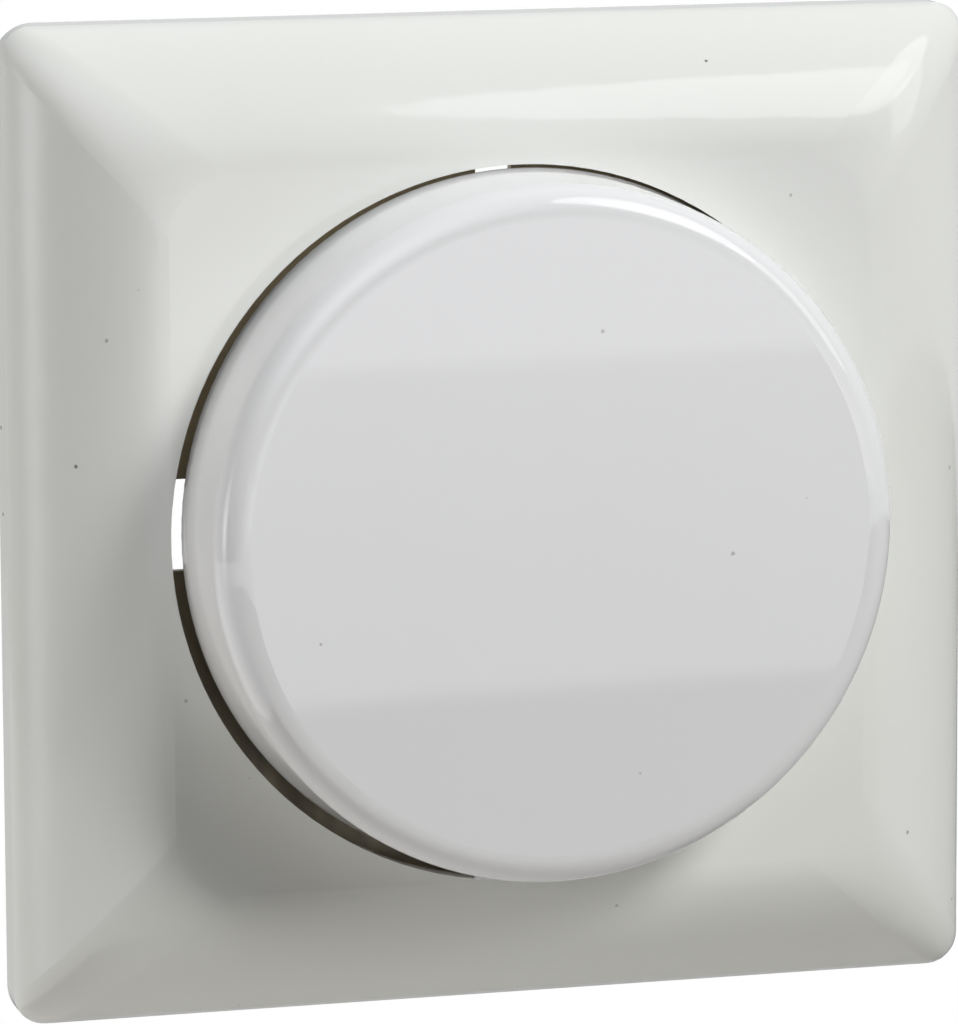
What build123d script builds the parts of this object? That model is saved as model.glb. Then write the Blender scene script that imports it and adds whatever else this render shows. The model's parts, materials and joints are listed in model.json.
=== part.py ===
from build123d import *
import os

# Flush single-gang pushbutton switch: a square cover frame with a large round button,
# on a sheet-metal mounting plate with the contact mechanism behind it.
# X is to the right and Z up. The wall face is the XZ plane, with the room on its -Y side,
# so a height above the wall is a distance along -Y. The button's axis is the Y axis.

# Cover frame
frame_size = 84.0
frame_height = 11.4
frame_wall = 2.0
side_height = 2.0
side_inset = 0.15
bevel_width = 12.0
bevel_rim_pull = 2.6
bevel_flat_pull = 4.6
bevel_steps = 12
side_corner_r = 3.3
rim_corner_r = 2.6
flat_corner_r = 5.0

# Frame and plate sit a little low and to the left of the button, in the slack of the mechanism
frame_shift_x = -0.3
frame_shift_z = -0.36

# Frame clips
clip_margin = 4.0
clip_from_corner = 8.5
clip_width = 6.0
clip_wall = 1.4
clip_slack = 0.6
clip_catch = 1.4
clip_lift = 0.1
clip_foot = 0.5

# Button
button_d = 58.9
button_gap = 0.67
button_proud = 10.8
button_sink = 0.85
button_draft = 0.6
button_edge_r = 2.6
button_rim_r = 0.3
button_wall = 2.0
face_wall = 2.2
button_travel = 2.5
button_rib_count = 6
button_rib_wall = 1.2
button_rib_height = 4.0
socket_wall = 2.0

# Mounting plate
plate_margin = 6.5
plate_corner_r = 6.0
plate_t = 1.0
plate_stand = 1.8
plate_bend_r = 0.9
fixing_spacing = 58.0
slot_width = 3.1
slot_length = 5.2
claw_spacing = 59.4
claw_window_x = 6.9
claw_window_z = 7.75
claw_corner_r = 0.5
mechanism_slack = 0.5

# Guide plate in front of the mounting plate
flange_r = 26.0
flange_t = 2.0
guide_length = 8.0
guide_reach = 1.0
guide_wall = 2.0
spigot_reach = 2.0
spigot_wall = 1.6
spigot_fit = 0.2
post_size = 4.0
post_width = 10.0
post_gap = 0.1
spring_rim_height = 1.2
spring_rim_wall = 1.2

# Plunger
stem_d = 10.0
stem_fit = 0.08
peg_d = 7.8
peg_fit = 0.05
peg_flat = 2.9
peg_gap = 0.2
boss_clearance = 0.6
stop_t = 1.5
carrier_x = 10.0
carrier_z = 9.0
carrier_neck = 3.8
window_length = 8.0
window_fit = 0.2
carrier_foot = 2.0
carrier_fit = 0.15
carrier_corner_r = 0.8
peg_bevel = 0.4

# Springs
return_wire = 0.9
return_length = 9.6
return_turns = 4
return_clearance = 0.6
contact_wire = 0.5
contact_spring_d = 4.6
contact_turns = 5

# Contacts
contact_overlap = 2.6
bridge_gap = 1.1
overtravel = 0.7
strip_t = 1.0
strip_width = 5.0
strip_bend_r = 0.3
spring_peg_d = 2.6
spring_peg_height = 0.8
tip_d = 3.2
tip_t = 0.8
rivet_d = 1.6
rivet_fit = 0.05
rivet_head_d = 2.6
rivet_head_t = 0.4

# Terminals
block_x = 5.8
block_z = 22.0
block_height = 7.5
block_gap = 1.2
block_bevel = 0.1
wire_spacing = 14.0
wire_bore = 3.0
wire_depth = 6.0
screw_d = 3.0
screw_fit = 0.05
screw_head_d = 5.0
screw_head_t = 1.6
screw_slot = 0.8
screw_from_back = 4.0

# Housing
housing_x = 42.0
housing_z = 38.0
housing_wall = 1.8
housing_floor = 2.0
housing_corner_r = 4.0
seat_height = 2.1
guide_rib = 1.5
guide_rib_clearance = 1.0
entry_d = 3.6
entry_flare = 0.8
access_d = 5.6
ear_r = 4.0
ear_depth = 8.0
ear_offset = 2.5
clamp_d = 2.5
clamp_fit = 0.05
clamp_head_d = 5.5
clamp_head_t = 2.0
clamp_length = 9.0
clamp_clearance = 0.35

# Heights above the wall that follow from the sizes
rim_h = frame_height - button_sink
face_h = frame_height + button_proud
face_back = face_h - face_wall
plate_back = plate_stand
plate_front = plate_stand + plate_t
flange_front = plate_front + flange_t
guide_front = flange_front + guide_length
guide_back = plate_back - guide_reach
boss_back = guide_front + button_travel + boss_clearance
spring_front = flange_front + return_length
stop_back = guide_back - stop_t
window_front = stop_back - carrier_neck
window_back = window_front - window_length
carrier_back = window_back - carrier_foot
bridge_front = window_back + strip_t
bridge_tip = window_back - tip_t
contact_gap = button_travel - overtravel
fixed_tip = bridge_tip - contact_gap
arm_front = fixed_tip - tip_t
arm_back = arm_front - strip_t
arm_mid = arm_front - strip_t / 2
floor_front = arm_back - seat_height
housing_back = floor_front - housing_floor
block_front = arm_front + block_height

# Radii and places that follow from the sizes
hole_r = button_d / 2 + button_gap
plate_size = fixing_spacing + 2 * plate_margin
clip_x = plate_size / 2 - clip_margin
clip_z = plate_size / 2 - clip_from_corner
stem_r = stem_d / 2
guide_bore_r = stem_r + stem_fit
guide_r = guide_bore_r + guide_wall
return_r = guide_r + return_clearance + return_wire / 2
seat_ring_in = return_r - return_wire / 2
seat_ring_out = return_r + return_wire
cavity_x = housing_x - 2 * housing_wall
cavity_z = housing_z - 2 * housing_wall
block_out = cavity_x / 2 - block_gap
block_in = block_out - block_x
block_mid = (block_out + block_in) / 2
wire_z = wire_spacing / 2
screw_h = arm_front + screw_from_back
clamp_z = housing_z / 2 + ear_offset
contact_x = block_in - bridge_gap - contact_overlap
bridge_length = 2 * (contact_x + contact_overlap)
rivet_hole_r = rivet_d / 2 + rivet_fit

# Planes of the frame and the plate
frame_at = (frame_shift_x, 0, frame_shift_z)
frame_front = Plane(origin=frame_at, x_dir=(1, 0, 0), z_dir=(0, -1, 0))

os.makedirs("parts", exist_ok=True)


def pillow(inset):
    # The frame's square form: a drafted side, then contours that follow one section up the bevel
    half = frame_size / 2
    rim = half - side_inset
    flat = half - bevel_width
    lean = bevel_rim_pull * side_inset / side_height
    bevel = Bezier(
        (rim, side_height),
        (rim - lean, side_height + bevel_rim_pull),
        (flat + bevel_flat_pull, frame_height),
        (flat, frame_height),
    )
    with BuildPart() as body:
        for reach, height, corner_r in ((half, 0, side_corner_r), (rim, side_height, rim_corner_r)):
            with BuildSketch(frame_front.offset(height - inset)):
                side = 2 * (reach - inset)
                RectangleRounded(side, side, corner_r - inset)
        loft()
        for step in range(bevel_steps + 1):
            share = step / bevel_steps
            point = bevel @ share
            corner_r = rim_corner_r + share * (flat_corner_r - rim_corner_r)
            with BuildSketch(frame_front.offset(point.Y - inset)):
                side = 2 * (point.X - inset)
                RectangleRounded(side, side, corner_r - inset)
        loft()
    return body


def coil_spring(radius, wire, back, length, turns):
    # Square wire, open at both ends
    rise = length - wire
    with BuildPart() as body:
        with BuildLine() as path:
            Helix(rise / turns, rise, radius, center=(0, -back - wire / 2, 0), direction=(0, -1, 0))
        with BuildSketch(Plane(origin=path.line @ 0, x_dir=(1, 0, 0), z_dir=path.line % 0)):
            Rectangle(wire, wire)
        sweep(is_frenet=True)
    return body


# Cover frame: a hollow moulding with a round opening and four clips behind
solid = pillow(0)
hollow = pillow(frame_wall)

with BuildPart() as cover_frame:
    add(solid.part)
    add(hollow.part, mode=Mode.SUBTRACT)
    with BuildSketch(frame_front):
        Circle(hole_r)
    extrude(amount=frame_height, mode=Mode.SUBTRACT)
    for side in (1, -1):
        across = Plane(origin=frame_at, x_dir=(side, 0, 0), z_dir=(0, 0, side))
        for level in (clip_z, -clip_z):
            with BuildSketch(across.offset(level - clip_width / 2)):
                with BuildLine():
                    Polyline(
                        (clip_x - clip_wall, -clip_foot),
                        (clip_x, -clip_foot),
                        (clip_x + clip_catch, clip_lift - plate_back),
                        (clip_x, clip_lift - plate_back),
                        (clip_x, frame_wall / 2 - frame_height),
                        (clip_x - clip_wall, frame_wall / 2 - frame_height),
                        close=True,
                    )
                make_face()
            extrude(amount=clip_width)
cover_frame.part.label = "cover_frame"
export_step(cover_frame.part, "parts/cover_frame.step")

# Button: a dished cap with a socket for the plunger, a spring seat and radial ribs
with BuildPart() as push_button:
    with BuildSketch(Plane.XY) as shell:
        rim_r = button_d / 2
        front_r = rim_r - button_draft
        with BuildLine():
            Polyline(
                (0, -face_h),
                (front_r, -face_h),
                (rim_r, -rim_h),
                (rim_r - button_wall, -rim_h),
                (front_r - button_wall, -face_back),
                (0, -face_back),
                close=True,
            )
        make_face()
        fillet(shell.vertices().group_by(Axis.Y)[0].sort_by(Axis.X)[-1], button_edge_r)
        fillet(shell.vertices().group_by(Axis.Y)[-1], button_rim_r)
    revolve(axis=Axis.Y)
    with BuildSketch(Plane.XZ.offset(boss_back)):
        Circle(peg_d / 2 + peg_fit + socket_wall)
    extrude(amount=face_back - boss_back)
    with BuildSketch(Plane.XZ.offset(boss_back)):
        Circle(peg_d / 2 + peg_fit)
        with Locations((0, peg_flat + peg_fit)):
            Rectangle(peg_d * 2, peg_d, align=(Align.CENTER, Align.MIN), mode=Mode.SUBTRACT)
    extrude(amount=face_back - boss_back, mode=Mode.SUBTRACT)
    with BuildSketch(Plane.XZ.offset(spring_front)):
        Circle(seat_ring_out)
        Circle(seat_ring_in, mode=Mode.SUBTRACT)
    extrude(amount=face_back - spring_front)
    rib_end = front_r - button_wall / 2
    with BuildSketch(Plane.XZ.offset(face_back - button_rib_height)):
        with PolarLocations((seat_ring_in + rib_end) / 2 + return_wire / 2, button_rib_count):
            Rectangle(rib_end - seat_ring_in - return_wire, button_rib_wall)
    extrude(amount=button_rib_height)
push_button.part.label = "push_button"
export_step(push_button.part, "parts/push_button.step")

# Plunger: keyed peg, round stem, stop collar and the windowed carrier for the bridge
with BuildPart() as plunger:
    with BuildSketch(Plane.XZ.offset(boss_back)):
        Circle(peg_d / 2)
        with Locations((0, peg_flat)):
            Rectangle(peg_d * 2, peg_d, align=(Align.CENTER, Align.MIN), mode=Mode.SUBTRACT)
    extrude(amount=face_back - peg_gap - boss_back)
    with BuildSketch(Plane.XZ.offset(stop_back)):
        Circle(stem_r)
    extrude(amount=boss_back - stop_back)
    with BuildSketch(Plane.XZ.offset(stop_back)):
        Circle(guide_r)
    extrude(amount=stop_t)
    with BuildSketch(Plane.XZ.offset(carrier_back)):
        RectangleRounded(carrier_x, carrier_z, carrier_corner_r)
    extrude(amount=stop_back - carrier_back)
    with BuildSketch(Plane.XZ.offset(window_back)):
        Rectangle(carrier_x * 2, strip_width + 2 * window_fit)
    extrude(amount=window_length, mode=Mode.SUBTRACT)
    chamfer(plunger.faces().sort_by(Axis.Y)[0].edges(), peg_bevel)
plunger.part.label = "plunger"
export_step(plunger.part, "parts/plunger.step")

# Springs
return_spring = coil_spring(return_r, return_wire, flange_front, return_length, return_turns)
return_spring.part.label = "return_spring"
export_step(return_spring.part, "parts/return_spring.step")

contact_r = (contact_spring_d - contact_wire) / 2
contact_spring = coil_spring(
    contact_r, contact_wire, bridge_front, window_front - bridge_front, contact_turns
)
contact_spring.part.label = "contact_spring"
export_step(contact_spring.part, "parts/contact_spring.step")

# Mounting plate: pressed sheet with a turned-down rim, standing on the wall
with BuildPart() as mounting_plate:
    with BuildSketch(frame_front):
        RectangleRounded(plate_size, plate_size, plate_corner_r)
    extrude(amount=plate_front)
    fillet(mounting_plate.faces().sort_by(Axis.Y)[0].outer_wire().edges(), plate_bend_r)
    with BuildSketch(frame_front):
        inner = plate_size - 2 * plate_t
        RectangleRounded(inner, inner, plate_corner_r - plate_t)
    extrude(amount=plate_back, mode=Mode.SUBTRACT)
    with BuildSketch(frame_front):
        window_x = cavity_x + 2 * mechanism_slack
        window_z = cavity_z + 2 * mechanism_slack
        RectangleRounded(window_x, window_z, housing_corner_r - housing_wall)
        with GridLocations(0, fixing_spacing, 1, 2):
            SlotOverall(slot_length, slot_width, rotation=90)
        with GridLocations(claw_spacing, 0, 2, 1):
            RectangleRounded(claw_window_x, claw_window_z, claw_corner_r)
        with GridLocations(0, 2 * clamp_z, 1, 2):
            Circle(clamp_d / 2 + clamp_clearance + mechanism_slack)
        with GridLocations(2 * clip_x - clip_wall, 2 * clip_z, 2, 2):
            Rectangle(clip_wall + 2 * clip_slack, clip_width + 2 * clip_slack)
    extrude(amount=plate_front, mode=Mode.SUBTRACT)
mounting_plate.part.label = "mounting_plate"
export_step(mounting_plate.part, "parts/mounting_plate.step")

# Guide plate: round flange on the sheet, a spigot through its window and the guide tube
with BuildPart() as mechanism_cover:
    with BuildSketch(Plane.XZ.offset(plate_front)):
        Circle(flange_r)
    extrude(amount=flange_t)
    with BuildSketch(Plane.XZ.offset(plate_back - spigot_reach)):
        outer_x = cavity_x - 2 * spigot_fit
        outer_z = cavity_z - 2 * spigot_fit
        outer_r = housing_corner_r - housing_wall - spigot_fit
        RectangleRounded(outer_x, outer_z, outer_r)
        Rectangle(outer_x - 2 * spigot_wall, outer_z - 2 * spigot_wall, mode=Mode.SUBTRACT)
    extrude(amount=plate_front - plate_back + spigot_reach)
    with BuildSketch(Plane.XZ.offset(flange_front)):
        Circle(seat_ring_out + spring_rim_wall)
        Circle(seat_ring_out, mode=Mode.SUBTRACT)
    extrude(amount=spring_rim_height)
    with BuildSketch(Plane.XZ.offset(guide_back)):
        Circle(guide_r)
    extrude(amount=guide_front - guide_back)
    with BuildSketch(Plane.XZ.offset(block_front + post_gap)):
        with GridLocations(2 * block_mid, 0, 2, 1):
            Rectangle(post_size, post_width)
    extrude(amount=plate_front - block_front - post_gap)
    with BuildSketch(Plane.XZ.offset(guide_back)):
        Circle(guide_bore_r)
    extrude(amount=guide_front - guide_back, mode=Mode.SUBTRACT)
    with BuildSketch(Plane.XZ.offset(plate_front)):
        with GridLocations(0, 2 * clamp_z, 1, 2):
            Circle(clamp_d / 2 + clamp_clearance)
    extrude(amount=flange_t, mode=Mode.SUBTRACT)
mechanism_cover.part.label = "mechanism_cover"
export_step(mechanism_cover.part, "parts/mechanism_cover.step")

# Housing: an open box with ears, seats for the contacts and terminals, and wire entries
with BuildPart() as mechanism_housing:
    with BuildSketch(Plane.XZ.offset(housing_back)):
        RectangleRounded(housing_x, housing_z, housing_corner_r)
    extrude(amount=plate_back - housing_back)
    with BuildSketch(Plane.XZ.offset(plate_back - ear_depth)):
        with GridLocations(0, 2 * clamp_z, 1, 2):
            Circle(ear_r)
        Rectangle(2 * ear_r, 2 * clamp_z)
    extrude(amount=ear_depth)
    with BuildSketch(Plane.XZ.offset(floor_front)):
        RectangleRounded(cavity_x, cavity_z, housing_corner_r - housing_wall)
    extrude(amount=plate_back - floor_front, mode=Mode.SUBTRACT)
    with BuildSketch(Plane.XZ.offset(floor_front)):
        with GridLocations(2 * block_mid, 0, 2, 1):
            Rectangle(block_x, block_z)
    extrude(amount=arm_front - floor_front)
    with BuildSketch(Plane.XZ.offset(floor_front)):
        seat_in = contact_x - contact_overlap
        with GridLocations(seat_in + block_in, 0, 2, 1):
            Rectangle(block_in - seat_in, strip_width)
    extrude(amount=arm_back - floor_front)
    with BuildSketch(Plane.XZ.offset(arm_back)):
        Rectangle(cavity_x, strip_width + 2 * window_fit)
    extrude(amount=strip_t, mode=Mode.SUBTRACT)
    with BuildSketch(Plane.XZ.offset(floor_front)):
        with GridLocations(0, carrier_z + 2 * carrier_fit + guide_rib, 1, 2):
            Rectangle(carrier_x, guide_rib)
    extrude(amount=stop_back - button_travel - guide_rib_clearance - floor_front)
    with BuildSketch(Plane.XZ.offset(housing_back)):
        with GridLocations(2 * block_mid, wire_spacing, 2, 2):
            Circle(entry_d / 2)
    extrude(amount=arm_front - housing_back, mode=Mode.SUBTRACT)
    chamfer([w.edge() for w in mechanism_housing.faces().sort_by(Axis.Y)[-1].inner_wires()], entry_flare)
    for side in (1, -1):
        wall = Plane(origin=(side * cavity_x / 2, 0, 0), x_dir=(0, 0, 1), z_dir=(side, 0, 0))
        for level in (wire_z, -wire_z):
            with BuildSketch(wall):
                with Locations((level, side * screw_h)):
                    Circle(access_d / 2)
            extrude(amount=housing_wall, mode=Mode.SUBTRACT)
    with BuildSketch(Plane.XZ.offset(plate_back)):
        with GridLocations(0, 2 * clamp_z, 1, 2):
            Circle(clamp_d / 2 + clamp_fit)
    extrude(amount=-ear_depth, mode=Mode.SUBTRACT)
mechanism_housing.part.label = "mechanism_housing"
export_step(mechanism_housing.part, "parts/mechanism_housing.step")

# Clamp screws that hold guide plate, mounting plate and housing together
with BuildPart() as housing_screws:
    with BuildSketch(Plane.XZ.offset(flange_front - clamp_length)):
        with GridLocations(0, 2 * clamp_z, 1, 2):
            Circle(clamp_d / 2)
    extrude(amount=clamp_length)
    with BuildSketch(Plane.XZ.offset(flange_front)):
        with GridLocations(0, 2 * clamp_z, 1, 2):
            Circle(clamp_head_d / 2)
    extrude(amount=clamp_head_t)
    with BuildSketch(Plane.XZ.offset(flange_front + clamp_head_t)):
        with GridLocations(0, 2 * clamp_z, 1, 2):
            Rectangle(clamp_head_d * 2, screw_slot)
    extrude(amount=-clamp_head_t / 2, mode=Mode.SUBTRACT)
housing_screws.part.label = "housing_screws"
export_step(housing_screws.part, "parts/housing_screws.step")

# Contact bridge: a strip across the plunger's window, with a peg for its spring
with BuildPart() as contact_bridge:
    with BuildSketch(Plane.XZ.offset(window_back)):
        SlotOverall(bridge_length, strip_width)
        with GridLocations(2 * contact_x, 0, 2, 1):
            Circle(rivet_hole_r, mode=Mode.SUBTRACT)
    extrude(amount=strip_t)
    with BuildSketch(Plane.XZ.offset(bridge_front)):
        Circle(spring_peg_d / 2)
    extrude(amount=spring_peg_height)
contact_bridge.part.label = "contact_bridge"
export_step(contact_bridge.part, "parts/contact_bridge.step")

# Rivet on the bridge, its contact face towards the housing floor
with BuildPart() as right_bridge_tip:
    with BuildSketch(Plane.XZ.offset(bridge_tip)):
        with Locations((contact_x, 0)):
            Circle(tip_d / 2)
    extrude(amount=tip_t)
    with BuildSketch(Plane.XZ.offset(window_back)):
        with Locations((contact_x, 0)):
            Circle(rivet_d / 2)
    extrude(amount=strip_t)
    with BuildSketch(Plane.XZ.offset(bridge_front)):
        with Locations((contact_x, 0)):
            Circle(rivet_head_d / 2)
    extrude(amount=rivet_head_t)
right_bridge_tip.part.label = "right_bridge_tip"
export_step(right_bridge_tip.part, "parts/right_bridge_tip.step")

with BuildPart() as left_bridge_tip:
    mirror(right_bridge_tip.part, about=Plane.YZ)
left_bridge_tip.part.label = "left_bridge_tip"
export_step(left_bridge_tip.part, "parts/left_bridge_tip.step")

# Fixed contact: a strip under the terminal block, turned up behind it
with BuildPart() as right_fixed_contact:
    with BuildSketch(Plane.XY.offset(-strip_width / 2)):
        with BuildLine():
            FilletPolyline(
                (contact_x - contact_overlap, -arm_mid),
                (block_out + strip_t / 2, -arm_mid),
                (block_out + strip_t / 2, -block_front),
                radius=strip_t / 2 + strip_bend_r,
            )
        trace(line_width=strip_t)
    extrude(amount=strip_width)
    with BuildSketch(Plane.XZ.offset(arm_back)):
        with Locations((contact_x, 0)):
            Circle(rivet_hole_r)
    extrude(amount=strip_t, mode=Mode.SUBTRACT)
right_fixed_contact.part.label = "right_fixed_contact"
export_step(right_fixed_contact.part, "parts/right_fixed_contact.step")

with BuildPart() as left_fixed_contact:
    mirror(right_fixed_contact.part, about=Plane.YZ)
left_fixed_contact.part.label = "left_fixed_contact"
export_step(left_fixed_contact.part, "parts/left_fixed_contact.step")

# Rivet on the fixed contact, its contact face towards the bridge
with BuildPart() as right_fixed_tip:
    with BuildSketch(Plane.XZ.offset(arm_front)):
        with Locations((contact_x, 0)):
            Circle(tip_d / 2)
    extrude(amount=tip_t)
    with BuildSketch(Plane.XZ.offset(arm_back)):
        with Locations((contact_x, 0)):
            Circle(rivet_d / 2)
    extrude(amount=strip_t)
right_fixed_tip.part.label = "right_fixed_tip"
export_step(right_fixed_tip.part, "parts/right_fixed_tip.step")

with BuildPart() as left_fixed_tip:
    mirror(right_fixed_tip.part, about=Plane.YZ)
left_fixed_tip.part.label = "left_fixed_tip"
export_step(left_fixed_tip.part, "parts/left_fixed_tip.step")

# Terminal block: two wire bores from behind, each crossed by a clamp screw from the side
with BuildPart() as right_terminal_block:
    with BuildSketch(Plane.XZ.offset(arm_front)):
        with Locations((block_mid, 0)):
            Rectangle(block_x, block_z)
    extrude(amount=block_height)
    chamfer(right_terminal_block.edges().filter_by(Axis.Z), strip_bend_r + block_bevel)
    with BuildSketch(Plane.XZ.offset(arm_front)):
        with Locations((block_mid, 0)):
            with GridLocations(0, wire_spacing, 1, 2):
                Circle(wire_bore / 2)
    extrude(amount=wire_depth, mode=Mode.SUBTRACT)
    with BuildSketch(Plane(origin=(block_out, 0, 0), x_dir=(0, 0, 1), z_dir=(1, 0, 0))):
        with Locations((wire_z, screw_h), (-wire_z, screw_h)):
            Circle(screw_d / 2 + screw_fit)
    extrude(amount=-block_x / 2, mode=Mode.SUBTRACT)
right_terminal_block.part.label = "right_terminal_block"
export_step(right_terminal_block.part, "parts/right_terminal_block.step")

with BuildPart() as left_terminal_block:
    mirror(right_terminal_block.part, about=Plane.YZ)
left_terminal_block.part.label = "left_terminal_block"
export_step(left_terminal_block.part, "parts/left_terminal_block.step")

# Terminal screws, backed off so that the wire bores are open
with BuildPart() as right_terminal_screws:
    screw_out = housing_x / 2
    screw_tip = block_mid + wire_bore / 2
    head_in = screw_out - screw_head_t
    with BuildSketch(Plane(origin=(screw_tip, 0, 0), x_dir=(0, 0, 1), z_dir=(1, 0, 0))):
        with Locations((wire_z, screw_h), (-wire_z, screw_h)):
            Circle(screw_d / 2)
    extrude(amount=head_in - screw_tip)
    with BuildSketch(Plane(origin=(head_in, 0, 0), x_dir=(0, 0, 1), z_dir=(1, 0, 0))):
        with Locations((wire_z, screw_h), (-wire_z, screw_h)):
            Circle(screw_head_d / 2)
    extrude(amount=screw_head_t)
    with BuildSketch(Plane(origin=(screw_out, 0, 0), x_dir=(0, 0, 1), z_dir=(1, 0, 0))):
        with Locations((wire_z, screw_h), (-wire_z, screw_h)):
            Rectangle(screw_slot, screw_head_d * 2)
    extrude(amount=-screw_head_t / 2, mode=Mode.SUBTRACT)
right_terminal_screws.part.label = "right_terminal_screws"
export_step(right_terminal_screws.part, "parts/right_terminal_screws.step")

with BuildPart() as left_terminal_screws:
    mirror(right_terminal_screws.part, about=Plane.YZ)
left_terminal_screws.part.label = "left_terminal_screws"
export_step(left_terminal_screws.part, "parts/left_terminal_screws.step")
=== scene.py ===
import json
import math

import bpy
from mathutils import Matrix, Vector


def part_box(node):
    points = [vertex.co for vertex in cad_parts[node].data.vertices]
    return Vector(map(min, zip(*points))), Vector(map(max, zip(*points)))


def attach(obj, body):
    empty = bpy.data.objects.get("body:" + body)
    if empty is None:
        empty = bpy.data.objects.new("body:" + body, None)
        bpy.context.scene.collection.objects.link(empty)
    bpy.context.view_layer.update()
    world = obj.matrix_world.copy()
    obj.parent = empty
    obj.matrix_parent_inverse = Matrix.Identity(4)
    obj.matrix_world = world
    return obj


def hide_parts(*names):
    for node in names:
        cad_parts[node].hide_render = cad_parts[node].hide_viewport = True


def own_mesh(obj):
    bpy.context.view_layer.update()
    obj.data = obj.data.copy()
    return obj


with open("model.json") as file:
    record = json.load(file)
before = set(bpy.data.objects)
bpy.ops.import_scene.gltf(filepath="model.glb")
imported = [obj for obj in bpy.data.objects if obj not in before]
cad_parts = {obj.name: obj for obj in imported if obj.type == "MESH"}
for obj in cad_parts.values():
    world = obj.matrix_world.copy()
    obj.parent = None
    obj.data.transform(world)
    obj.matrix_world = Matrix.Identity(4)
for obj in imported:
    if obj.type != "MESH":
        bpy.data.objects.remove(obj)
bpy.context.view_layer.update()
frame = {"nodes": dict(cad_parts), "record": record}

nodes = frame["nodes"]
mm = 0.001
print("frame loaded:", len(nodes), "nodes")


# Node helpers

def addNode(tree, kind, **settings):
    node = tree.nodes.new(kind)
    for setting, value in settings.items():
        setattr(node, setting, value)
    return node


def setInputs(node, **values):
    for name, value in values.items():
        node.inputs[name].default_value = value


def startGroup(name, numbers):
    group = bpy.data.node_groups.new(name, "ShaderNodeTree")
    for socket, value in numbers.items():
        made = group.interface.new_socket(name=socket, in_out="INPUT", socket_type="NodeSocketFloat")
        made.default_value = value
    return group, addNode(group, "NodeGroupInput"), addNode(group, "NodeGroupOutput")


def giveOut(group, name):
    group.interface.new_socket(name=name, in_out="OUTPUT", socket_type="NodeSocketFloat")


def mathNode(tree, operation, first, second):
    node = addNode(tree, "ShaderNodeMath", operation=operation)
    for socket, value in zip(node.inputs, (first, second)):
        if isinstance(value, (int, float)):
            socket.default_value = value
        else:
            tree.links.new(value, socket)
    return node.outputs[0]


def rangeNode(tree, value, fromLow, fromHigh, toLow, toHigh):
    node = addNode(tree, "ShaderNodeMapRange")
    for socket, number in zip(node.inputs[1:5], (fromLow, fromHigh, toLow, toHigh)):
        socket.default_value = number
    tree.links.new(value, node.inputs[0])
    return node.outputs[0]


def mixColours(tree, mask, first, second):
    node = addNode(tree, "ShaderNodeMix", data_type="RGBA")     # sockets 6 and 7 in and 2 out are the colours
    tree.links.new(mask, node.inputs[0])
    for socket, value in zip((node.inputs[6], node.inputs[7]), (first, second)):
        if isinstance(value, tuple):
            socket.default_value = (*value, 1)
        else:
            tree.links.new(value, socket)
    return node.outputs[2]


# Surface effects shared by the materials, on Object coordinates in metres
noiseSpread = (0.3, 0.7)             # the part of a noise that is stretched from 0 to 1
speckForm = {
    "bendScale": 2500.0,
    "bend": 0.025,                   # share of a cell that the edge wanders
    "edge": 0.012,                   # share of a cell over which a speck fades
    "pick": (0.2, 0.9),              # cell value of a faint and of a dark speck
    "faintest": 0.35,
}


def makeToneDrift():
    group, given, out = startGroup("toneDrift", {"Scale": 30.0, "Detail": 3.0})
    giveOut(group, "Tone")
    place = addNode(group, "ShaderNodeTexCoord")
    noise = addNode(group, "ShaderNodeTexNoise")
    group.links.new(place.outputs["Object"], noise.inputs["Vector"])
    group.links.new(given.outputs["Scale"], noise.inputs["Scale"])
    group.links.new(given.outputs["Detail"], noise.inputs["Detail"])
    group.links.new(rangeNode(group, noise.outputs["Fac"], *noiseSpread, 0, 1), out.inputs["Tone"])
    return group


def makeDustSpecks(form):
    group, given, out = startGroup("dustSpecks", {"Scale": 200.0, "Size": 0.03})
    giveOut(group, "Speck")
    place = addNode(group, "ShaderNodeTexCoord")
    bend = addNode(group, "ShaderNodeTexNoise")
    setInputs(bend, Scale=form["bendScale"], Detail=1.0)
    cells = addNode(group, "ShaderNodeTexVoronoi")
    group.links.new(place.outputs["Object"], bend.inputs["Vector"])
    group.links.new(place.outputs["Object"], cells.inputs["Vector"])
    group.links.new(given.outputs["Scale"], cells.inputs["Scale"])
    ragged = mathNode(group, "MULTIPLY", bend.outputs["Fac"], form["bend"])
    reach = mathNode(group, "ADD", cells.outputs["Distance"], ragged)
    inside = mathNode(group, "SUBTRACT", given.outputs["Size"], reach)
    share = mathNode(group, "DIVIDE", inside, form["edge"])
    clamp = addNode(group, "ShaderNodeClamp")
    group.links.new(share, clamp.inputs["Value"])
    depth = rangeNode(group, cells.outputs["Color"], *form["pick"], form["faintest"], 1)
    group.links.new(mathNode(group, "MULTIPLY", clamp.outputs[0], depth), out.inputs["Speck"])
    return group


def makeSkinRipple():
    group, given, out = startGroup("skinRipple", {"Wave": 150.0, "Grain": 2500.0, "Grain Share": 0.0})
    giveOut(group, "Height")
    place = addNode(group, "ShaderNodeTexCoord")
    wave = addNode(group, "ShaderNodeTexNoise")
    grain = addNode(group, "ShaderNodeTexNoise")
    setInputs(wave, Detail=1.0)
    setInputs(grain, Detail=2.0)
    for noise, scale in ((wave, "Wave"), (grain, "Grain")):
        group.links.new(place.outputs["Object"], noise.inputs["Vector"])
        group.links.new(given.outputs[scale], noise.inputs["Scale"])
    fine = mathNode(group, "MULTIPLY", grain.outputs["Fac"], given.outputs["Grain Share"])
    group.links.new(mathNode(group, "ADD", wave.outputs["Fac"], fine), out.inputs["Height"])
    return group


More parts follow.
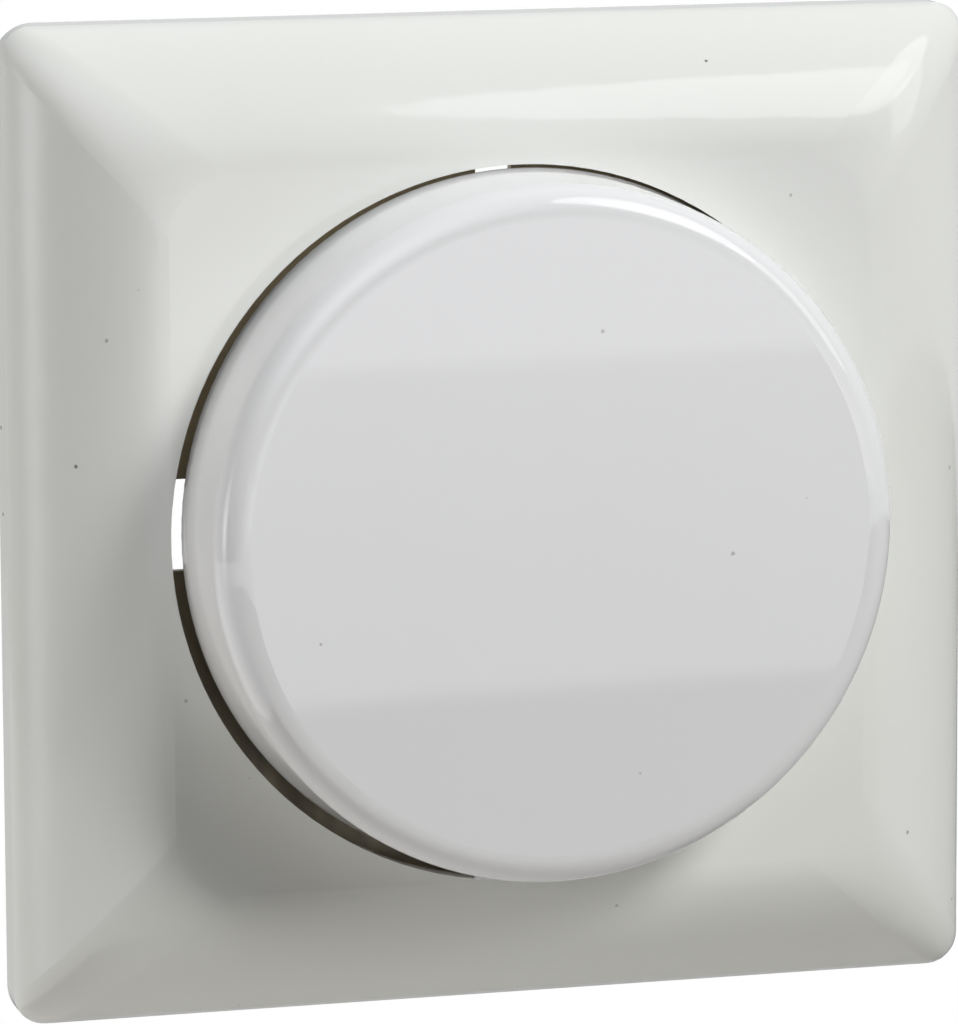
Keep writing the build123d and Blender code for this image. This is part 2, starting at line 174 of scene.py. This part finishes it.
def makeDrawnLines():
    group, given, out = startGroup("drawnLines", {"Across": 3000.0, "Along": 60.0})
    giveOut(group, "Streak")
    place = addNode(group, "ShaderNodeTexCoord")
    stretch = addNode(group, "ShaderNodeCombineXYZ")
    group.links.new(given.outputs["Across"], stretch.inputs["X"])
    group.links.new(given.outputs["Across"], stretch.inputs["Y"])
    group.links.new(given.outputs["Along"], stretch.inputs["Z"])
    scaled = addNode(group, "ShaderNodeVectorMath", operation="MULTIPLY")
    group.links.new(place.outputs["Object"], scaled.inputs[0])
    group.links.new(stretch.outputs[0], scaled.inputs[1])
    noise = addNode(group, "ShaderNodeTexNoise")
    setInputs(noise, Scale=1.0, Detail=3.0)
    group.links.new(scaled.outputs[0], noise.inputs["Vector"])
    group.links.new(rangeNode(group, noise.outputs["Fac"], *noiseSpread, 0, 1), out.inputs["Streak"])
    return group


toneDrift = makeToneDrift()
dustSpecks = makeDustSpecks(speckForm)
skinRipple = makeSkinRipple()
drawnLines = makeDrawnLines()
print("surface effects made")


def useGroup(tree, group, **values):
    node = addNode(tree, "ShaderNodeGroup", node_tree=group)
    for name, value in values.items():
        node.inputs[name.replace("_", " ")].default_value = value
    return node.outputs[0]


plasticIor = 1.47


def startMaterial(name, look):
    material = bpy.data.materials.new(name)
    material.use_nodes = True
    shader = material.node_tree.nodes["Principled BSDF"]
    setInputs(shader, Metallic=look.get("metallic", 0.0), IOR=look.get("ior", plasticIor))
    material.diffuse_color = (*look["colour"], 1)
    return material, material.node_tree, shader


def addBump(tree, shader, height, depth):
    bump = addNode(tree, "ShaderNodeBump")
    setInputs(bump, Strength=1.0, Distance=depth * mm)
    tree.links.new(height, bump.inputs["Height"])
    tree.links.new(bump.outputs[0], shader.inputs["Normal"])


# White mouldings: glossy, faintly warm, with a few dark specks and the slight ripple of a moulded skin
frameWhite = {
    "colour": (0.795, 0.805, 0.765),
    "drift": (0.775, 0.780, 0.730),
    "speck": (0.10, 0.085, 0.07),
    "roughness": (0.035, 0.075),
    "ripple": 0.004,                 # mm
    "ior": 1.40,
}
buttonWhite = {
    "colour": (0.802, 0.803, 0.796),
    "drift": (0.792, 0.792, 0.783),
    "speck": (0.10, 0.085, 0.07),
    "roughness": (0.012, 0.024),
    "ripple": 0.0007,
    "ior": 1.6,
}


def makeWhiteMoulding(name, look):
    material, tree, shader = startMaterial(name, look)
    tone = useGroup(tree, toneDrift, Scale=22.0, Detail=3.0)
    speck = useGroup(tree, dustSpecks, Scale=170.0, Size=0.047)
    smear = useGroup(tree, toneDrift, Scale=260.0, Detail=4.0)
    body = mixColours(tree, tone, look["colour"], look["drift"])
    tree.links.new(mixColours(tree, speck, body, look["speck"]), shader.inputs["Base Color"])
    tree.links.new(rangeNode(tree, smear, 0, 1, *look["roughness"]), shader.inputs["Roughness"])
    addBump(tree, shader, useGroup(tree, skinRipple, Wave=140.0), look["ripple"])
    return material


# Dark and pale mouldings of the mechanism: matt, with a fine grain
darkBrown = {
    "colour": (0.040, 0.032, 0.025),
    "drift": (0.062, 0.052, 0.042),
    "roughness": (0.42, 0.60),
    "grain": 0.012,                  # mm
}
paleCream = {
    "colour": (0.70, 0.66, 0.55),
    "drift": (0.64, 0.59, 0.47),
    "roughness": (0.35, 0.50),
    "grain": 0.006,
}


def makeMattMoulding(name, look):
    material, tree, shader = startMaterial(name, look)
    tone = useGroup(tree, toneDrift, Scale=90.0, Detail=5.0)
    patch = useGroup(tree, toneDrift, Scale=420.0, Detail=4.0)
    skin = useGroup(tree, skinRipple, Wave=300.0, Grain=3200.0, Grain_Share=0.8)
    tree.links.new(mixColours(tree, tone, look["colour"], look["drift"]), shader.inputs["Base Color"])
    tree.links.new(rangeNode(tree, patch, 0, 1, *look["roughness"]), shader.inputs["Roughness"])
    addBump(tree, shader, skin, look["grain"])
    return material


# Metals: drawn or rolled lines, with a dull film that lies thickest along them
streakShare = 0.5
yellowPlate = {
    "colour": (0.42, 0.36, 0.25),
    "film": (0.28, 0.24, 0.17),
    "roughness": (0.34, 0.52),
    "lines": (900.0, 40.0),          # noise scale across and along
    "relief": 0.002,                 # mm
    "metallic": 0.35,
}
drawnSteel = {
    "colour": (0.50, 0.50, 0.50),
    "film": (0.36, 0.35, 0.34),
    "roughness": (0.22, 0.40),
    "lines": (2600.0, 500.0),
    "relief": 0.001,
    "metallic": 1.0,
}
screwSteel = {
    "colour": (0.62, 0.59, 0.50),
    "film": (0.46, 0.43, 0.35),
    "roughness": (0.24, 0.42),
    "lines": (2200.0, 1200.0),
    "relief": 0.002,
    "metallic": 1.0,
}
rolledBrass = {
    "colour": (0.80, 0.60, 0.26),
    "film": (0.58, 0.40, 0.17),
    "roughness": (0.24, 0.42),
    "lines": (1800.0, 90.0),
    "relief": 0.0015,
    "metallic": 1.0,
}
barBrass = {
    "colour": (0.74, 0.55, 0.24),
    "film": (0.52, 0.36, 0.16),
    "roughness": (0.28, 0.46),
    "lines": (1500.0, 70.0),
    "relief": 0.002,
    "metallic": 1.0,
}
tipSilver = {
    "colour": (0.82, 0.81, 0.78),
    "film": (0.60, 0.57, 0.52),
    "roughness": (0.16, 0.34),
    "lines": (2400.0, 2000.0),
    "relief": 0.001,
    "metallic": 1.0,
}


def makeMetal(name, look):
    material, tree, shader = startMaterial(name, look)
    across, along = look["lines"]
    streak = useGroup(tree, drawnLines, Across=across, Along=along)
    film = useGroup(tree, toneDrift, Scale=160.0, Detail=5.0)
    thick = mathNode(tree, "ADD", mathNode(tree, "MULTIPLY", streak, streakShare), 1 - streakShare)
    dull = mathNode(tree, "MULTIPLY", film, thick)
    tree.links.new(mixColours(tree, dull, look["colour"], look["film"]), shader.inputs["Base Color"])
    tree.links.new(rangeNode(tree, streak, 0, 1, *look["roughness"]), shader.inputs["Roughness"])
    addBump(tree, shader, streak, look["relief"])
    return material


finishes = {
    "frame": makeWhiteMoulding("frameWhite", frameWhite),
    "button": makeWhiteMoulding("buttonWhite", buttonWhite),
    "dark_moulding": makeMattMoulding("darkBrown", darkBrown),
    "pale_moulding": makeMattMoulding("paleCream", paleCream),
    "plated_sheet": makeMetal("yellowPlate", yellowPlate),
    "spring_steel": makeMetal("drawnSteel", drawnSteel),
    "screw_steel": makeMetal("screwSteel", screwSteel),
    "brass_strip": makeMetal("rolledBrass", rolledBrass),
    "brass_block": makeMetal("barBrass", barBrass),
    "contact_silver": makeMetal("tipSilver", tipSilver),
}
ownFinish = {"cover_frame": "frame", "push_button": "button"}


def dressNode(node, finish):
    slots = nodes[node].data.materials
    slots.clear()
    slots.append(finishes[finish])


for subpart in frame["record"]["subparts"]:
    dressNode(subpart["node"], ownFinish.get(subpart["node"], subpart["material_slot"]))
print("materials set:", len(finishes))


# Springs: round wire in place of the square stand-ins, sizes in mm
springMesh = {"wireSides": 16, "turnSteps": 40, "smoothAngle": 40}
returnCoil = {"node": "return_spring", "wire": 0.9, "turns": 4, "body": "base", "joint": "button_press",
              "travel": 2.5, "fixedEnd": "back"}
contactCoil = {"node": "contact_spring", "wire": 0.5, "turns": 5, "body": "button", "joint": "bridge_lift",
               "travel": 0.75, "fixedEnd": "front"}


def windSpring(coil, form):
    low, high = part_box(coil["node"])
    wire = coil["wire"] * mm
    radius = (high[0] - low[0]) / 2 - wire / 2
    length = high[1] - low[1]
    bpy.ops.object.select_all(action="DESELECT")
    bpy.ops.mesh.primitive_circle_add(vertices=form["wireSides"], radius=wire / 2)
    spring = bpy.context.object
    spring.name = coil["node"] + "_wire"
    bpy.ops.object.mode_set(mode="EDIT")
    bpy.ops.transform.translate(value=(radius, low[1] + wire / 2, 0))
    bpy.ops.object.mode_set(mode="OBJECT")
    winding = spring.modifiers.new("winding", "SCREW")
    winding.axis = "Y"
    winding.iterations = coil["turns"]
    winding.screw_offset = (length - wire) / coil["turns"]
    winding.steps = form["turnSteps"]
    winding.render_steps = form["turnSteps"]
    bpy.ops.object.modifier_apply(modifier="winding")
    bpy.ops.object.mode_set(mode="EDIT")
    bpy.ops.mesh.select_all(action="SELECT")
    bpy.ops.mesh.fill_holes(sides=0)
    bpy.ops.mesh.select_all(action="SELECT")
    bpy.ops.mesh.normals_make_consistent(inside=False)
    bpy.ops.object.mode_set(mode="OBJECT")
    bpy.ops.object.shade_smooth_by_angle(angle=math.radians(form["smoothAngle"]))
    spring.data.materials.append(finishes["spring_steel"])
    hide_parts(coil["node"])
    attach(spring, coil["body"])
    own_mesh(spring)


windSpring(returnCoil, springMesh)
windSpring(contactCoil, springMesh)
print("springs wound")


# Camera: a long lens, a little above the switch and to its left
cameraView = {
    "yaw": 16.06,                    # degrees round to the left
    "pitch": 8.68,                   # degrees above
    "roll": -0.28,
    "lens": 239.2,                   # mm
    "sensor": 36,                    # mm along the picture's long side
    "distance": 569.6,               # mm from the aim
    "aim": (-0.27, -8.0, -0.36),     # mm, middle of the frame, just under its flat
    "aimOffset": (2.78, -0.57),      # mm that the aim stands right of and above the picture's middle
    "clip": (0.05, 20),              # m
}


def addCamera(view):
    yaw = math.radians(view["yaw"])
    pitch = math.radians(view["pitch"])
    roll = math.radians(view["roll"])
    forward = Vector((math.sin(yaw) * math.cos(pitch), math.cos(yaw) * math.cos(pitch), -math.sin(pitch)))
    level = Vector((math.cos(yaw), -math.sin(yaw), 0))
    upright = level.cross(forward)
    right = level * math.cos(roll) + upright * math.sin(roll)
    up = upright * math.cos(roll) - level * math.sin(roll)
    across, above = view["aimOffset"]
    place = Vector(view["aim"]) - right * across - up * above - forward * view["distance"]
    turn = Matrix((right, up, -forward)).transposed().to_4x4()
    camera = bpy.data.objects.new("camera", bpy.data.cameras.new("camera"))
    bpy.context.scene.collection.objects.link(camera)
    camera.matrix_world = Matrix.Translation(place * mm) @ turn
    camera.data.lens = view["lens"]
    camera.data.sensor_width = view["sensor"]
    camera.data.clip_start, camera.data.clip_end = view["clip"]
    bpy.context.scene.camera = camera


addCamera(cameraView)
print("camera set")


# Studio: lamps give the light and shade, cards are only seen in the gloss, sizes in m
# Each stands in a direction given as degrees to the right of the front and above the horizon
white = (1, 1, 1)
cool = (0.97, 0.98, 1.0)
warm = (1.0, 0.97, 0.95)
sky = (0.70, 0.80, 1.0)
cream = (1.0, 0.95, 0.82)
lamps = {
    "keyCore": {"toward": (43, 41), "distance": 1.5, "disc": 0.42, "watts": 13.3, "tint": white},
    "keyMid": {"toward": (48, 37), "distance": 1.5, "disc": 0.80, "watts": 8.4, "tint": white},
    "leftRear": {"toward": (-106, 40), "distance": 1.5, "sheet": (0.69, 1.09), "watts": 11.0, "tint": white},
    "top": {"toward": (5, 66), "distance": 1.5, "sheet": (1.40, 0.80), "watts": 2.5, "tint": sky},
    "lowLeft": {"toward": (-75, -42), "distance": 1.2, "sheet": (1.12, 0.78), "watts": 5.2, "tint": warm},
    "lowMid": {"toward": (-25, -48), "distance": 1.2, "sheet": (0.97, 0.78), "watts": 2.4, "tint": warm},
    "inside": {"toward": (0, 0), "distance": 0.0093, "aside": (-0.004, 0, 0.006), "disc": 0.038,
               "watts": 0.006, "tint": cream},   # in the button's hollow, for light through the plastic
    "backdrop": {"toward": (180, 0), "distance": 1.0, "sheet": (0.4, 0.4), "watts": 1.6, "tint": white},
}
cards = {
    "keyRim": {"toward": (50, 45.5), "distance": 1.5, "disc": 0.98, "watts": 7.0, "tint": cool},
    "keyRing": {"toward": (46, 43), "distance": 1.46, "disc": 0.56, "watts": 1.3, "tint": cool},
    "keySkirt": {"toward": (59.5, 21), "distance": 1.54, "sheet": (0.44, 0.62), "watts": 1.6, "tint": white},
}


def aimToward(degrees):
    across, above = (math.radians(angle) for angle in degrees)
    return Vector((math.sin(across) * math.cos(above), -math.cos(across) * math.cos(above), math.sin(above)))


def hangLamp(name, lamp):
    toward = aimToward(lamp["toward"])
    light = bpy.data.objects.new(name, bpy.data.lights.new(name, "AREA"))
    bpy.context.scene.collection.objects.link(light)
    if "disc" in lamp:
        light.data.shape = "DISK"
        light.data.size = lamp["disc"]
    else:
        light.data.shape = "RECTANGLE"
        light.data.size, light.data.size_y = lamp["sheet"]
    light.data.energy = lamp["watts"]
    light.data.color = lamp["tint"]
    light.location = toward * lamp["distance"] + Vector(lamp.get("aside", (0, 0, 0)))
    light.rotation_mode = "QUATERNION"
    light.rotation_quaternion = toward.to_track_quat("Z", "Y")
    light.visible_camera = False
    return light


for name, lamp in lamps.items():
    hangLamp(name, lamp).visible_glossy = False
for name, lamp in cards.items():
    hangLamp(name, lamp).visible_diffuse = False
print("lights hung:", len(lamps) + len(cards))


# Surroundings: a white ground to the eye; in the gloss a pale tent, a dimmer band and a table at the left
# Heights are sines above the horizon; a foot is the tilted line where the tent or the band ends
room = {
    "glow": 0.02,
    "tent": 0.9,
    "tentRear": -0.35,
    "tentFront": {"toward": (17, 0), "power": 5, "strength": 2.1, "heights": (-0.06, 0.22)},
    "tentLeft": {"toward": (-30, 40), "power": 8, "strength": 2.2},
    "tentFoot": {"angle": -7.4, "tilt": 0.047},
    "band": {"strengths": (1.32, 1.92), "heights": (-0.176, -0.129), "right": 0.45},
    "bandFoot": {"angle": -10.15, "tilt": 0.071},
    "footPivot": 0.287,              # sideways place where both feet have their stated angle
    "footBlur": 0.0012,
    "table": {"strength": 1.6, "below": 0.5},
    "besideLeft": {"toward": (-88, -3), "power": 90, "strength": 3.7},
    "tint": (0.97, 0.98, 1.04),
}


def addUp(tree, *parts):
    total = parts[0]
    for part in parts[1:]:
        total = mathNode(tree, "ADD", total, part)
    return total


def aboveLine(tree, toward, foot, look):
    line = math.sin(math.radians(foot["angle"]))
    beside = mathNode(tree, "SUBTRACT", toward.outputs["X"], look["footPivot"])
    rise = mathNode(tree, "MULTIPLY", beside, foot["tilt"])
    height = mathNode(tree, "SUBTRACT", toward.outputs["Z"], rise)
    return rangeNode(tree, height, line - look["footBlur"], line + look["footBlur"], 0, 1)


def facingShare(tree, axis, sign):
    return mathNode(tree, "MAXIMUM", mathNode(tree, "MULTIPLY", axis, sign), 0)


def glowToward(tree, place, glow):
    along = addNode(tree, "ShaderNodeVectorMath", operation="DOT_PRODUCT")
    tree.links.new(place.outputs["Generated"], along.inputs[0])
    along.inputs[1].default_value = aimToward(glow["toward"])
    ahead = mathNode(tree, "MAXIMUM", along.outputs["Value"], 0)
    return mathNode(tree, "MULTIPLY", mathNode(tree, "POWER", ahead, glow["power"]), glow["strength"])


def buildRoom(look):
    world = bpy.data.worlds.new("studio")
    bpy.context.scene.world = world
    world.use_nodes = True
    tree = world.node_tree
    ground = tree.nodes["Background"]
    path = addNode(tree, "ShaderNodeLightPath")
    place = addNode(tree, "ShaderNodeTexCoord")
    toward = addNode(tree, "ShaderNodeSeparateXYZ")
    tree.links.new(place.outputs["Generated"], toward.inputs[0])
    left = facingShare(tree, toward.outputs["X"], -1)
    right = mathNode(tree, "MULTIPLY", facingShare(tree, toward.outputs["X"], 1), look["band"]["right"])
    front = facingShare(tree, toward.outputs["Y"], -1)
    rear = mathNode(tree, "MULTIPLY", facingShare(tree, toward.outputs["Y"], 1), look["tentRear"])
    below = mathNode(tree, "MULTIPLY", facingShare(tree, toward.outputs["Z"], -1), look["table"]["below"])
    overTent = aboveLine(tree, toward, look["tentFoot"], look)
    overBand = aboveLine(tree, toward, look["bandFoot"], look)
    low = rangeNode(tree, toward.outputs["Z"], *look["tentFront"]["heights"], 1, 0)
    lowFront = mathNode(tree, "MULTIPLY", glowToward(tree, place, look["tentFront"]), low)
    tent = addUp(tree, rear, look["tent"], lowFront, glowToward(tree, place, look["tentLeft"]))
    tent = mathNode(tree, "MULTIPLY", tent, overTent)
    fade = rangeNode(tree, toward.outputs["Z"], *look["band"]["heights"], *look["band"]["strengths"])
    band = mathNode(tree, "MULTIPLY", mathNode(tree, "SUBTRACT", overBand, overTent), fade)
    band = mathNode(tree, "MULTIPLY", band, mathNode(tree, "MAXIMUM", front, right))
    table = mathNode(tree, "MULTIPLY", mathNode(tree, "SUBTRACT", 1, overTent), look["table"]["strength"])
    table = mathNode(tree, "MULTIPLY", table, mathNode(tree, "ADD", left, below))
    gloss = addUp(tree, tent, band, table, glowToward(tree, place, look["besideLeft"]))
    gloss = mathNode(tree, "MULTIPLY", gloss, path.outputs["Is Glossy Ray"])
    dim = mathNode(tree, "MAXIMUM", gloss, look["glow"])
    tree.links.new(mathNode(tree, "MAXIMUM", dim, path.outputs["Is Camera Ray"]), ground.inputs["Strength"])
    colour = mixColours(tree, path.outputs["Is Camera Ray"], look["tint"], (1.0, 1.0, 1.0))
    tree.links.new(colour, ground.inputs["Color"])


buildRoom(room)
bpy.context.scene.view_settings.view_transform = "Standard"


# Floor: pale paper, well below
floorPaper = {
    "drop": 1.3,                     # m
    "size": 2.6,
    "colour": (0.82, 0.82, 0.80),
    "darker": 0.96,
    "roughness": 0.9,
}


def layFloor(look):
    bpy.ops.object.select_all(action="DESELECT")
    bpy.ops.mesh.primitive_plane_add(size=look["size"], location=(0, 0, -look["drop"]))
    floor = bpy.context.object
    floor.name = "floor"
    bpy.ops.object.transform_apply(location=True)
    paper, tree, shader = startMaterial("floorPaper", look)
    tone = useGroup(tree, toneDrift, Scale=4.0, Detail=2.0)
    darker = tuple(look["darker"] * part for part in look["colour"])
    tree.links.new(mixColours(tree, tone, look["colour"], darker), shader.inputs["Base Color"])
    setInputs(shader, Roughness=look["roughness"])
    floor.data.materials.append(paper)


layFloor(floorPaper)
print("room built")
